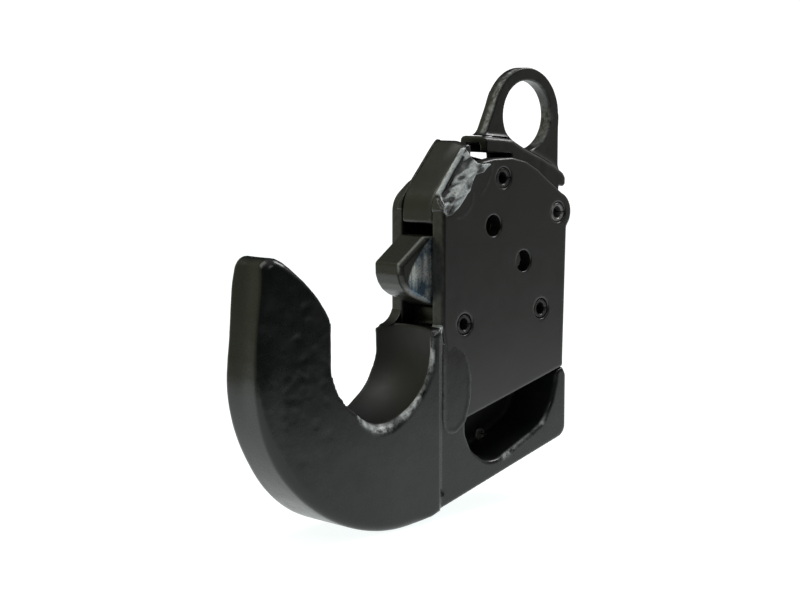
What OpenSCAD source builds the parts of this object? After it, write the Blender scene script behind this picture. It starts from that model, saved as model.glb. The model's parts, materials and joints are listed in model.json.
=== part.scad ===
// Weld-on lower link hook with a sliding, spring-returned latch and a rope lever.
// X runs from the hook's nose to its weld face, Y across it and Z up.
// The origin is the centre of the ball seat. Right is the -Y side, left is +Y.

/* [Hook] */
// Radius of the ball that the seat holds
ball_r = 28; // [27:0.25:28.5]
// Thickness of the hook beside the seat
cheek_t = 32; // [31:0.5:33]
// Thickness of the nose at its front
nose_t = 16; // [15:0.5:18]
// Radius of the hook's outer round
outer_r = 61.7; // [61:0.1:62]
// Height of the nose's top above the seat's centre
nose_top = 38; // [37.5:0.25:39]
// Slope of the straight lower edge
sole_angle = 15.5; // [15:0.1:16]

/* [Housing] */
// Thickness over both side plates
house_t = 28.3; // [28:0.1:29]
// Thickness of one side plate
plate_t = 6; // [5.5:0.25:6.25]
// Front edge of the side plates
plate_front = 30.8; // [30.5:0.1:31]
// Weld face at the rear
rear_x = 100.8; // [100.5:0.1:101.5]
// Depth of the pocket in the right side
pocket_depth = 21.4; // [20:0.2:22]
// Radius of the two lock holes through both plates
lock_hole_r = 4.1; // [4:0.05:4.25]

/* [Pins] */
// Outer radius of the four large roll pins
pin_r = 4; // [3.9:0.05:4]
// Inner radius of the large roll pins
pin_bore_r = 2.5; // [2:0.1:2.8]
// Length of the large roll pins
pin_length = 27.7; // [27:0.1:28]
// Outer radius of the pocket's roll pin
small_pin_r = 2.75; // [2.5:0.05:3]
// Radius of the drive pin in the lever
drive_r = 2.5; // [2.4:0.05:2.6]

/* [Latch] */
// Thickness of the latch
latch_t = 14; // [13:0.5:14]
// Thickness of the latch's tail
tail_t = 6.6; // [6:0.2:6.6]
// Travel of the latch
latch_travel = 14; // [13:0.5:14]

/* [Lever] */
// Width of the lever's channel
lever_t = 14; // [13.5:0.5:14]
// Wall of the lever's channel
lever_wall = 3.4; // [3:0.1:3.4]
// Thickness of the eye plate
eye_t = 5.8; // [5:0.2:6.4]
// Radius of the rope eye's hole
eye_hole_r = 13.6; // [12:0.2:14]
// Outer radius of the rope eye
eye_r = 18.7; // [18.4:0.1:19]

/* [Hidden] */
$fn = 96;
eps = 0.01;
gap = 0.3;
hole_play = 0.02;
pivot_play = 0.06;

// Pin and hole centres, as [x, z]
upper_at = [63.5, 62];
pivot_at = [95, 47.5];
rear_at = [85.5, 10];
front_at = [42.5, 7.5];
pocket_pin_at = [72.5, -41.5];
lock_hole_a = [58, 44];
lock_hole_b = [75, 29.5];
drive_at = pivot_at + [-13, 12.5];
eye_at = [89, 85.5];

inner_t = house_t - 2 * plate_t;
face_r = sqrt(ball_r * ball_r - cheek_t * cheek_t / 4);
throat_r = face_r - 1;
outer_at = [7.2, -4];
cheek_end = 28.8;
hook_top = 7;
nose_x = outer_at.x - outer_r;

// The sole is a line that touches the outer round
sole_start = outer_at + outer_r * [sin(sole_angle), -cos(sole_angle)];
function sole_z(x) = sole_start.y + (x - sole_start.x) * tan(sole_angle);

// The cheeks curve towards the nose as an arc seen from above
taper_start = 8;
taper_run = taper_start - nose_x;
taper_drop = (cheek_t - nose_t) / 2;
taper_r = (taper_run * taper_run + taper_drop * taper_drop) / (2 * taper_drop);
nose_edge_r = 3.5;

// Lower edge of the side plates, which is the pocket's upper edge
plate_low_a = [43.5, -28.8];
plate_low_b = [99, -14.4];

tongue_top = 14.2;
tongue_rise_x = 37;
block_x = 79.3;
block_low = 3;
block_top = 25.5;

latch_low = tongue_top + gap;
latch_top = 41;
latch_rear = block_x - gap - latch_travel;
spring_at = [0, 0, 20.7];
spring_r = 4.2;
spring_wire_r = 0.65;
spring_turns = 10.5;
spring_bore_r = 4.5;
spring_bore_x = 40;
guide_rod_r = 2.2;
guide_rod_x = spring_bore_x + latch_travel + 1;

sleeve_r = 5.5;
bush_r = 5.5;
boss_r = 8;
washer_r = 7.5;
washer_t = 1;
cheek_gap = lever_t - 2 * lever_wall;

// An X-Z outline, extruded between two Y values
module slab(y_low, y_high) {
    translate([0, y_high, 0])
        rotate([90, 0, 0])
            linear_extrude(y_high - y_low)
                children();
}

// A round bar along Y, centred on [x, z]
module cross_bar(at, r, length, y_mid = 0) {
    translate([at.x, y_mid, at.y])
        rotate([90, 0, 0])
            cylinder(r = r, h = length, center = true);
}

// A round bar along X from x_low to x_high
module long_bar(r, x_low, x_high) {
    translate([x_low, 0, spring_at.z])
        rotate([0, 90, 0])
            cylinder(r = r, h = x_high - x_low);
}

module on_left_side() {
    mirror([0, 1, 0])
        children();
}

// ---- Hook body ----

module nose_outline() {
    tip_r = 4.8;
    tip = [-46.6, nose_top - tip_r];
    translate(tip)
        circle(tip_r);
    polygon([
        [nose_x, outer_at.y], [nose_x + 0.2, 2], [nose_x + 1.3, 15.5], [nose_x + 2.7, 29],
        [tip.x - tip_r, tip.y], tip, tip + tip_r * [0.5, 0.87], [-39.8, 33.6], [-35.4, 29.2],
        [-32.4, 25.6], [-29.6, 22.4], [-26.4, 17.8], [-24.7, 14.6], [-23.4, 11.5],
        [-throat_r, 0], [-throat_r, outer_at.y]
    ]);
}

module hook_outline() {
    difference() {
        union() {
            intersection() {
                translate(outer_at)
                    circle(outer_r, $fn = 180);
                translate([nose_x - 1, outer_at.y - outer_r - 1])
                    square([cheek_end - nose_x + 1, outer_r + 1]);
            }
            nose_outline();
            polygon([
                [face_r - 5, outer_at.y], [face_r - 5, hook_top - 2], [face_r + 2, hook_top - 1.5],
                [cheek_end, hook_top], [cheek_end, outer_at.y]
            ]);
        }
        circle(throat_r);
        translate([-throat_r, 0])
            square([2 * throat_r, nose_top]);
    }
}

// Half of the outline seen from above: full thickness, then an arc into the nose
module cheek_plan_half() {
    difference() {
        translate([nose_x, 0])
            square([cheek_end - nose_x, cheek_t / 2]);
        difference() {
            translate([nose_x - 1, 0])
                square([taper_run + 1, cheek_t]);
            translate([taper_start, cheek_t / 2 - taper_r])
                circle(taper_r, $fn = 360);
        }
        difference() {
            translate([nose_x - 1, nose_t / 2 - nose_edge_r])
                square([nose_edge_r + 1, cheek_t]);
            translate([nose_x + nose_edge_r, nose_t / 2 - nose_edge_r])
                circle(nose_edge_r);
        }
    }
}

module cheek_plan() {
    cheek_plan_half();
    mirror([0, 1])
        cheek_plan_half();
}

module shank_outline() {
    corner_r = 5;
    corner = [rear_x - corner_r, sole_z(rear_x - corner_r) + corner_r + 0.4];
    union() {
        polygon([
            [cheek_end - 3, sole_z(cheek_end - 3)], [corner.x + 1, sole_z(corner.x + 1)], corner,
            [rear_x, corner.y], [rear_x, plate_low_b.y - 4], [plate_low_b.x, plate_low_b.y - gap],
            [plate_low_a.x, plate_low_a.y - gap], [plate_low_a.x - 6, plate_low_a.y - gap],
            [plate_front + 3, -11], [plate_front, hook_top], [cheek_end - 3, hook_top]
        ]);
        translate(corner)
            circle(corner_r);
    }
}

module tongue_outline() {
    rear = plate_low_b.x - 0.5;
    polygon([
        [cheek_end - 3, hook_top], [tongue_rise_x, hook_top], [tongue_rise_x, tongue_top],
        [block_x - gap, tongue_top], [block_x - gap, block_low - gap], [rear, block_low - gap],
        [rear, plate_low_b.y - 4], [plate_low_a.x, plate_low_a.y - 10], [cheek_end - 3, -40]
    ]);
}

module pocket_outline() {
    polygon([
        plate_low_a - [0, 0.7], [95.2, -15.6], [94.2, -21], [91.2, -28.5], [87.5, -34.8],
        [80, -38.3], [73.5, -41.5], [66.5, -45.5], [62.5, -46.7], [58.5, -47], [54.5, -46.6],
        [50.5, -44.8], [46.8, -41.5], [44.4, -38], [43.5, -34.5]
    ]);
}

// A lens made by two arcs, where a side plate is welded to the hook body
module seam_outline() {
    half_w = 8;
    half_h = 18;
    arc_r = (half_w * half_w + half_h * half_h) / (2 * half_w);
    translate([38.2, -16.5])
        intersection() {
            translate([half_w - arc_r, 0])
                circle(arc_r, $fn = 180);
            translate([arc_r - half_w, 0])
                circle(arc_r, $fn = 180);
        }
}

seam_depth = 3;
seam_proud = 0.3;

module seam_recesses() {
    slab(-house_t, seam_depth - house_t / 2)
        seam_outline();
    slab(house_t / 2 - seam_depth, house_t)
        seam_outline();
}

// The ball's seat, open upwards
module seat_cutter() {
    rotate_extrude($fn = 120)
        union() {
            intersection() {
                circle(ball_r, $fn = 120);
                translate([0, -ball_r - 1])
                    square(ball_r + 1);
            }
            square([ball_r, 100]);
        }
}

// A cone that breaks the seat's edge on one face
module seat_lip() {
    lip_at = [1.6, -2.8];
    lip_r = 25.6;
    lip_depth = 4;
    translate([lip_at.x, -cheek_t / 2 - eps, lip_at.y])
        rotate([-90, 0, 0])
            cylinder(r1 = lip_r, r2 = lip_r - lip_depth - 1, h = lip_depth);
}

module hook_body() {
    color("dimgray")
        difference() {
            union() {
                intersection() {
                    slab(-cheek_t, cheek_t)
                        hook_outline();
                    translate([0, 0, -100])
                        linear_extrude(200)
                            cheek_plan();
                }
                slab(-house_t / 2, house_t / 2)
                    shank_outline();
                slab(-inner_t / 2, inner_t / 2)
                    tongue_outline();
            }
            seat_cutter();
            seat_lip();
            on_left_side()
                seat_lip();
            slab(-house_t, pocket_depth - house_t / 2)
                pocket_outline();
            seam_recesses();
            cross_bar(front_at, pin_r + hole_play, house_t * 2);
            cross_bar(pocket_pin_at, small_pin_r + hole_play, house_t * 2);
        }
}

// ---- Side plates, bridge and welds ----

plate_ear_r = 8;
// Sloping upper front edge of a side plate, which carries the bridge weld
plate_brow = [[plate_front, 50.5], [32.5, 55.5], [38.5, 60], [46.5, 64.5], [52, 68.5], [58.5, 69.5]];

module plate_outline() {
    polygon(concat([[plate_front, hook_top]], plate_brow, [
        [68.5, 69.7], [76.5, 68], [83.5, 64.5], [88.5, 61],
        pivot_at + plate_ear_r * [0.35, 0.93], pivot_at, [100.4, 41.5],
        [plate_low_b.x, plate_low_b.y + 4], plate_low_b, plate_low_a,
        [plate_low_a.x - 6, plate_low_a.y], [plate_front + 3, -11]
    ]));
}

// A small cone that breaks a hole's edge on the right face
module hole_edge(at, r, width) {
    translate([at.x, -house_t / 2 - eps, at.y])
        rotate([-90, 0, 0])
            cylinder(r1 = r + width, r2 = r, h = width);
}

module right_plate_shape() {
    difference() {
        union() {
            slab(-house_t / 2, plate_t - house_t / 2)
                plate_outline();
            cross_bar(pivot_at, plate_ear_r, plate_t, (plate_t - house_t) / 2);
        }
        seam_recesses();
        for (at = [upper_at, pivot_at, rear_at, front_at])
            cross_bar(at, pin_r + hole_play, house_t * 2);
        for (at = [lock_hole_a, lock_hole_b])
            cross_bar(at, lock_hole_r, house_t * 2);
        for (at = [upper_at, pivot_at, rear_at, front_at])
            hole_edge(at, pin_r, 0.6);
    }
}

module right_side_plate() {
    color("#3c3e3c")
        right_plate_shape();
}

module left_side_plate() {
    color("#3c3e3c")
        on_left_side()
            right_plate_shape();
}

bridge_low = 45.5;
bridge_rear = 51.8;
bridge_heel = [bridge_rear, 62];
guide_start = 44;

module front_bridge() {
    color("#4a4c4a")
        slab(-inner_t / 2, inner_t / 2)
            polygon([
                [plate_front, bridge_low], [plate_front, 54], [34.5, 59.5], [39.5, 65],
                [48.8, 76], [49.6, 76.5], [bridge_rear, 76.5], bridge_heel,
                [guide_start, bridge_low]
            ]);
}

module latch_top_guide() {
    guide_end = 52.8;
    middle = (bridge_heel + [guide_start, bridge_low]) / 2;
    color("#55585a")
        slab(-inner_t / 2, inner_t / 2)
            polygon([
                [guide_start, latch_top + gap], [guide_end, latch_top + gap],
                [guide_end, middle.y], middle, [guide_start, bridge_low]
            ]);
}

// A bead laid in the corner between the bridge's side and the plate's sloping edge
module bridge_weld_shape() {
    bead_t = 5.4;
    bead_h = 1.2;
    crest = [[31.2, 53], [35.4, 58.6], [40.6, 64.6], [48.2, 73.6], [51.5, 72]];
    difference() {
        for (i = [0:3])
            hull() {
                slab(-inner_t / 2 - 0.8, -inner_t / 2)
                    polygon([crest[i], crest[i + 1], plate_brow[i + 1], plate_brow[i]]);
                slab(-inner_t / 2 - bead_t, -inner_t / 2)
                    polygon([
                        plate_brow[i] + [0, bead_h], plate_brow[i + 1] + [0, bead_h],
                        plate_brow[i + 1], plate_brow[i]
                    ]);
            }
        slab(-house_t, 0)
            plate_outline();
    }
}

module right_bridge_weld() {
    color("#8a8c8c")
        bridge_weld_shape();
}

module left_bridge_weld() {
    color("#8a8c8c")
        on_left_side()
            bridge_weld_shape();
}

module seam_weld_shape() {
    slab(-house_t / 2 - seam_proud, seam_depth - house_t / 2)
        seam_outline();
}

module right_seam_weld() {
    color("#606362")
        seam_weld_shape();
}

module left_seam_weld() {
    color("#606362")
        on_left_side()
            seam_weld_shape();
}

// A concave bead where a plate's front edge stands on the hook body
module foot_weld_shape(leg) {
    slab(-house_t / 2, plate_t - house_t / 2)
        difference() {
            translate([plate_front - leg, hook_top])
                square([leg, leg]);
            translate([plate_front - leg, hook_top + leg])
                circle(leg - 0.5);
        }
}

module right_foot_weld() {
    color("#707374")
        foot_weld_shape(2);
}

module left_foot_weld() {
    color("#707374")
        on_left_side()
            foot_weld_shape(2);
}

// ---- Roll pins, sleeve, spring block ----

// A slotted spring tube along Y
module roll_pin(at, r, bore_r, length, y_mid = 0) {
    slot_w = 1;
    difference() {
        cross_bar(at, r, length, y_mid);
        cross_bar(at, bore_r, length + 1, y_mid);
        translate([at.x, y_mid - length, at.y - slot_w / 2])
            cube([r + 1, length * 2, slot_w]);
    }
}

module upper_roll_pin() {
    color("silver")
        roll_pin(upper_at, pin_r, pin_bore_r, pin_length);
}

module lever_pivot_pin() {
    color("silver")
        roll_pin(pivot_at, pin_r, pin_bore_r, pin_length);
}

module rear_roll_pin() {
    color("silver")
        roll_pin(rear_at, pin_r, pin_bore_r, pin_length);
}

module front_roll_pin() {
    color("silver")
        roll_pin(front_at, pin_r, pin_bore_r, pin_length);
}

module pocket_roll_pin() {
    proud = 1.2;
    floor_y = pocket_depth - house_t / 2;
    length = house_t / 2 - floor_y + proud - 0.3;
    color("silver")
        roll_pin(pocket_pin_at, small_pin_r, 1.5, length, floor_y - proud + length / 2);
}

module upper_spacer_sleeve() {
    color("#6c6f70")
        difference() {
            cross_bar(upper_at, sleeve_r, inner_t - 0.1);
            cross_bar(upper_at, pin_r + hole_play, house_t);
        }
}

module spring_stop_block() {
    block_end = 93;
    color("#5a5d5e")
        difference() {
            slab(-inner_t / 2, inner_t / 2)
                translate([block_x, block_low])
                    square([block_end - block_x, block_top - block_low]);
            cross_bar(rear_at, pin_r + hole_play, house_t);
            long_bar(guide_rod_r + hole_play, block_x - 1, block_x + 8);
        }
}

module spring_guide_rod() {
    color("#9a9c9c")
        long_bar(guide_rod_r, guide_rod_x, block_x + 8);
}

// A coil swept along X with closed end faces
module coil(x_low, x_high, coil_r, wire_r, turns) {
    sides = 6;
    steps = ceil(turns * 15);
    middle_r = coil_r - wire_r;
    function ring(i) = let (
        t = i / steps,
        a = 360 * turns * t,
        x = x_low + wire_r + (x_high - x_low - 2 * wire_r) * t
    ) [for (j = [0:sides - 1]) let (
        b = 360 * j / sides,
        rr = middle_r + wire_r * cos(b)
    ) [x + wire_r * sin(b), rr * cos(a), rr * sin(a)]];
    points = [for (i = [0:steps]) each ring(i)];
    walls = [for (i = [0:steps - 1], j = [0:sides - 1]) let (
        k = (j + 1) % sides
    ) [i * sides + j, i * sides + k, (i + 1) * sides + k, (i + 1) * sides + j]];
    first_cap = [for (j = [sides - 1:-1:0]) j];
    last_cap = [for (j = [0:sides - 1]) steps * sides + j];
    polyhedron(points, concat([first_cap], walls, [last_cap]));
}

module return_spring() {
    color("#a8abac")
        translate(spring_at)
            coil(spring_bore_x + 0.1, block_x - 0.1, spring_r, spring_wire_r, spring_turns);
}

// ---- Latch ----

module latch_nose_outline() {
    polygon([
        [15.5, 31.5], [28.5, latch_top], [52.5, latch_top], [52.5, 39.4], [63, 39.4],
        [67, 39.4], [67, 34.4], [lock_hole_b.x - lock_hole_r - 0.4, 34.4],
        [lock_hole_b.x - lock_hole_r - 0.4, block_top + 0.5], [latch_rear, block_top + 0.5],
        [latch_rear, latch_low], [31.8, latch_low], [29.8, 16.4], [26.5, 18], [23, 20],
        [19.8, 22.2], [17.5, 24.2], [16.2, 27]
    ]);
}

// The tail rises behind the upper sleeve and ends in a fork round the drive pin
module latch_tail_outline() {
    stem_x = upper_at.x + sleeve_r + gap;
    stem_end = 75;
    arm_low = pivot_at.y + bush_r + 0.6;
    fork_x = drive_at.x - 0.4;
    fork_half = drive_r + 0.55;
    difference() {
        polygon([
            [60, 34.4], [stem_end, 34.4], [stem_end, arm_low], [fork_x + 6.2, arm_low],
            [fork_x + 6.2, 66.8], [fork_x + 3, 68.8], [stem_x + 4, 69.6], [stem_x, 68.4],
            [stem_x, 47],
            [lock_hole_a.x + lock_hole_r + 0.8, 39.4], [60, 39.4]
        ]);
        translate([fork_x, drive_at.y - 0.4])
            circle(fork_half);
        translate([fork_x - fork_half, drive_at.y - 0.4])
            square([2 * fork_half, 20]);
    }
}

// Bevels both sides of the nose towards the tip
module nose_bevel() {
    bevel = 2;
    translate([0, latch_t / 2 - bevel, 0])
        rotate([0, 0, 45])
            translate([-40, 0, 0])
                cube([40, 40, 60]);
}

module latch() {
    color("#59604f")
        difference() {
            union() {
                slab(-latch_t / 2, latch_t / 2)
                    latch_nose_outline();
                slab(-tail_t / 2, tail_t / 2)
                    latch_tail_outline();
            }
            translate([15.5, 0, 0])
                nose_bevel();
            translate([15.5, 0, 0])
                on_left_side()
                    nose_bevel();
            long_bar(spring_bore_r, spring_bore_x, latch_rear + 10);
        }
}

// ---- Release lever ----

bar_top = [[61.8, 77.8], [76.5, 76.6], [83.5, 73.2], [92.5, 69.7], [101.5, 65.8], [107, 62.6]];

module bar_outline() {
    polygon(concat([[61, 72.8], [61, 77.2]], bar_top, [
        [108.5, 60.6], [108.2, 58.4], [106.2, 56.9], [104, 57.3], [95.5, 61.7], [87.5, 66.7],
        [82.5, 70], [75.5, 71.2]
    ]));
}

// The channel's inside, which leaves a thinner roof
module channel_inside_outline() {
    polygon([
        [59, 60], [59, 75], [75.8, 74], [82.6, 70.6], [91.4, 67.1], [100.4, 63.3],
        [103.5, 60.8], [105, 50], [105, 30], [60, 30]
    ]);
}

// Two round bosses joined by their common tangents, and the web up to the bar
module cheek_outline() {
    ear_r = drive_r + 3.2;
    span = norm(drive_at - pivot_at);
    along = (drive_at - pivot_at) / span;
    across = [along.y, -along.x];
    lean = (boss_r - ear_r) / span;
    low_side = lean * along - sqrt(1 - lean * lean) * across;
    high_side = lean * along + sqrt(1 - lean * lean) * across;
    translate(pivot_at)
        circle(boss_r);
    translate(drive_at)
        circle(ear_r);
    polygon([
        pivot_at + boss_r * high_side, pivot_at + boss_r * low_side,
        drive_at + ear_r * low_side, drive_at + ear_r * high_side
    ]);
    polygon([
        drive_at + [-5.5, 2], [75, 72.5], [82.5, 72], [88, 69], [95.5, 65.5], [104, 60],
        pivot_at + [boss_r - 0.5, 0], pivot_at
    ]);
}

module lever_channel() {
    color("#3a3d3b")
        difference() {
            union() {
                slab(-lever_t / 2, lever_t / 2)
                    bar_outline();
                slab(-lever_t / 2, lever_t / 2)
                    cheek_outline();
            }
            slab(-cheek_gap / 2, cheek_gap / 2)
                channel_inside_outline();
            cross_bar(pivot_at, pin_r + pivot_play, house_t);
            cross_bar(drive_at, drive_r + hole_play, house_t);
        }
}

module eye_outline() {
    difference() {
        union() {
            translate(eye_at)
                circle(eye_r, $fn = 144);
            polygon([
                [63.6, 76], [eye_at.x, 60], [106, 60], [eye_at.x + eye_r, 64.5],
                [eye_at.x + eye_r, eye_at.y], eye_at, eye_at + eye_r * [-0.87, 0.49]
            ]);
        }
        translate(eye_at)
            circle(eye_hole_r, $fn = 144);
        polygon(concat([[50, 50], [50, 78.8]], bar_top, [[bar_top[5].x, 50]]));
    }
}

module lever_eye_plate() {
    color("#3a3d3b")
        slab(-eye_t / 2, eye_t / 2)
            eye_outline();
}

module lever_bush() {
    color("#8c8f90")
        difference() {
            cross_bar(pivot_at, bush_r, cheek_gap - 0.1);
            cross_bar(pivot_at, pin_r + pivot_play, house_t);
        }
}

module right_lever_washer() {
    color("#9c9fa0")
        difference() {
            cross_bar(pivot_at, washer_r, washer_t, -lever_t / 2 - washer_t / 2 - 0.08);
            cross_bar(pivot_at, pin_r + pivot_play, house_t);
        }
}

module left_lever_washer() {
    color("#9c9fa0")
        on_left_side()
            right_lever_washer();
}

module drive_pin() {
    color("silver")
        cross_bar(drive_at, drive_r, lever_t);
}

hook_body();
right_side_plate();
left_side_plate();
front_bridge();
latch_top_guide();
right_bridge_weld();
left_bridge_weld();
right_seam_weld();
left_seam_weld();
right_foot_weld();
left_foot_weld();
upper_roll_pin();
lever_pivot_pin();
rear_roll_pin();
front_roll_pin();
pocket_roll_pin();
upper_spacer_sleeve();
spring_stop_block();
spring_guide_rod();
return_spring();
latch();
lever_channel();
lever_eye_plate();
lever_bush();
right_lever_washer();
left_lever_washer();
drive_pin();
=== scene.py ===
import json
import math

import bpy
import numpy as np
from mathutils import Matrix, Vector


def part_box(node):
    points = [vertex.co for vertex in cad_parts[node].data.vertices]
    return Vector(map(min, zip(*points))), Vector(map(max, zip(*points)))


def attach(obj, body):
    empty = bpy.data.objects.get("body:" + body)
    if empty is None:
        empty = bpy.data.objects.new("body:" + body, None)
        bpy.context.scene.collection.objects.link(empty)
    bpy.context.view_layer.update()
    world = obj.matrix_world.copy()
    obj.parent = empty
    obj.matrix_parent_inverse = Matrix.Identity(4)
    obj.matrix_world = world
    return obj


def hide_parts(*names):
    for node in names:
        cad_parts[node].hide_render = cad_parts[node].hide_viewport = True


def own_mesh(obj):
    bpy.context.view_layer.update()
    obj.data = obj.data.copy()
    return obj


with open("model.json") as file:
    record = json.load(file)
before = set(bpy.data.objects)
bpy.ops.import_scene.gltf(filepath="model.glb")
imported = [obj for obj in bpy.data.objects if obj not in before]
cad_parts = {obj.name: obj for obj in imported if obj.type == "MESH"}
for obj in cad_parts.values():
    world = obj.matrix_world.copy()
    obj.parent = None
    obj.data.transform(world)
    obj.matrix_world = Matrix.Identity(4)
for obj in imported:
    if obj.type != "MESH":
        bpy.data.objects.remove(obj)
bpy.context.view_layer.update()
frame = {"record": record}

# Shapes below are worked out in millimetres in the row frame (X to the weld face, -Y the near
# or right side, Z up) and turned into metres once.
MM = 0.001
COARSE = 1.0


def box_mm(node):
    low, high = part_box(node)
    return np.array(low) / MM, np.array(high) / MM


def centre_xz(node):
    low, high = box_mm(node)
    return (low[0] + high[0]) / 2, (low[2] + high[2]) / 2


def mount_xz(name):
    place = next(m["pos_m"] for m in frame["record"]["mounts"] if m["name"] == name)
    return place[0] / MM, place[2] / MM


# -------------------- noise and distance fields

RNG = np.random.RandomState(7)
LATTICE = RNG.rand(32, 32, 32).astype(np.float32)


def noise(x, y, z, size, seed=0):
    """Smooth value noise from -1 to 1 with features about size mm across."""
    x, y, z = np.broadcast_arrays(x, y, z)
    p = [c / size + 17.3 * seed + 5.1 * i + 400 for i, c in enumerate((x, y, z))]
    low = [np.floor(c).astype(np.int64) for c in p]
    t = [c - b for c, b in zip(p, low)]
    t = [c * c * (3 - 2 * c) for c in t]
    out = 0
    for i in (0, 1):
        for j in (0, 1):
            for k in (0, 1):
                w = (t[0] if i else 1 - t[0]) * (t[1] if j else 1 - t[1]) * (t[2] if k else 1 - t[2])
                out = out + w * LATTICE[(low[0] + i) % 32, (low[1] + j) % 32, (low[2] + k) % 32]
    return out * 2 - 1


def ramp(t, a, b):
    """0 before a and 1 after b, smooth between."""
    s = np.clip((t - a) / (b - a), 0, 1)
    return s * s * (3 - 2 * s)


def rounded(points, arc_steps=7):
    """A closed outline whose corners, given as (x, z, radius), become arcs."""
    out = []
    n = len(points)
    for i, p in enumerate(points):
        here = np.array(p[:2], float)
        r = p[2] if len(p) > 2 else 0.0
        if r <= 0:
            out.append(here)
            continue
        u = np.array(points[i - 1][:2], float) - here
        v = np.array(points[(i + 1) % n][:2], float) - here
        lu, lv = np.linalg.norm(u), np.linalg.norm(v)
        u, v = u / lu, v / lv
        half = math.acos(np.clip(u @ v, -1, 1)) / 2
        if half > math.radians(88.5):
            out.append(here)
            continue
        reach = min(r / math.tan(half), 0.49 * lu, 0.49 * lv)
        r = reach * math.tan(half)
        middle = here + (u + v) / np.linalg.norm(u + v) * r / math.sin(half)
        a, b = here + u * reach - middle, here + v * reach - middle
        turn = math.acos(np.clip(a @ b / (r * r), -1, 1))
        for s in np.linspace(0, 1, arc_steps):
            w = (math.sin((1 - s) * turn) * a + math.sin(s * turn) * b) / math.sin(turn)
            out.append(middle + w)
    return np.array(out)


def arc(centre, r, start, end, steps):
    return [
        (centre[0] + r * math.cos(math.radians(a)), centre[1] + r * math.sin(math.radians(a)))
        for a in np.linspace(start, end, steps)
    ]


class Outline:
    """Signed distance to a closed X-Z outline, sampled once on a fine grid."""

    STEP = 0.25

    def __init__(self, points, margin=12.0):
        pts = np.array([p[:2] for p in points], float)
        self.low = pts.min(0) - margin
        count = np.ceil((pts.max(0) + margin - self.low) / self.STEP).astype(int) + 1
        gx = (self.low[0] + self.STEP * np.arange(count[0]))[:, None]
        gz = (self.low[1] + self.STEP * np.arange(count[1]))[None, :]
        best = np.full((count[0], count[1]), 1e9)
        inside = np.zeros((count[0], count[1]), bool)
        for a, b in zip(pts, np.roll(pts, -1, 0)):
            e = b - a
            if e @ e < 1e-12:
                continue
            wx, wz = gx - a[0], gz - a[1]
            t = np.clip((wx * e[0] + wz * e[1]) / (e @ e), 0, 1)
            best = np.minimum(best, (wx - t * e[0]) ** 2 + (wz - t * e[1]) ** 2)
            crosses = (a[1] > gz) != (b[1] > gz)
            if abs(e[1]) > 1e-12:
                inside ^= crosses & (gx < a[0] + (gz - a[1]) * e[0] / e[1])
        self.field = (np.sqrt(best) * np.where(inside, -1, 1)).astype(np.float32)

    def __call__(self, x, z):
        x, z = np.broadcast_arrays(x, z)
        u = np.clip((x - self.low[0]) / self.STEP, 0, self.field.shape[0] - 1.001)
        v = np.clip((z - self.low[1]) / self.STEP, 0, self.field.shape[1] - 1.001)
        i, j = u.astype(int), v.astype(int)
        s, t = u - i, v - j
        f = self.field
        return (
            f[i, j] * (1 - s) * (1 - t) + f[i + 1, j] * s * (1 - t)
            + f[i, j + 1] * (1 - s) * t + f[i + 1, j + 1] * s * t
        )


def both(a, b, r=0.0):
    """Where both fields are inside, with the edge between them rounded to r."""
    if np.isscalar(r) and r <= 0:
        return np.maximum(a, b)
    u, v = np.maximum(a + r, 0), np.maximum(b + r, 0)
    return np.minimum(np.maximum(a, b), -r) + np.hypot(u, v)


def either(a, b, k=0.0):
    """Where one field is inside, with the corner between them filled over about k."""
    if np.isscalar(k) and k <= 0:
        return np.minimum(a, b)
    h = np.maximum(k - np.abs(a - b), 0) / k
    return np.minimum(a, b) - h * h * k / 4


def without(a, b, r=0.0):
    return both(a, -b, r)


def rod_y(x, z, at, r):
    return np.hypot(x - at[0], z - at[1]) - r


def capsule(x, y, z, a, b, ra, rb):
    """A rod with round ends whose radius goes from ra to rb."""
    a, b = np.array(a, float), np.array(b, float)
    e = b - a
    t = np.clip(((x - a[0]) * e[0] + (y - a[1]) * e[1] + (z - a[2]) * e[2]) / (e @ e), 0, 1)
    d = np.sqrt((x - a[0] - t * e[0]) ** 2 + (y - a[1] - t * e[1]) ** 2 + (z - a[2] - t * e[2]) ** 2)
    return d - (ra + (rb - ra) * t)


# -------------------- fields to meshes


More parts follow.
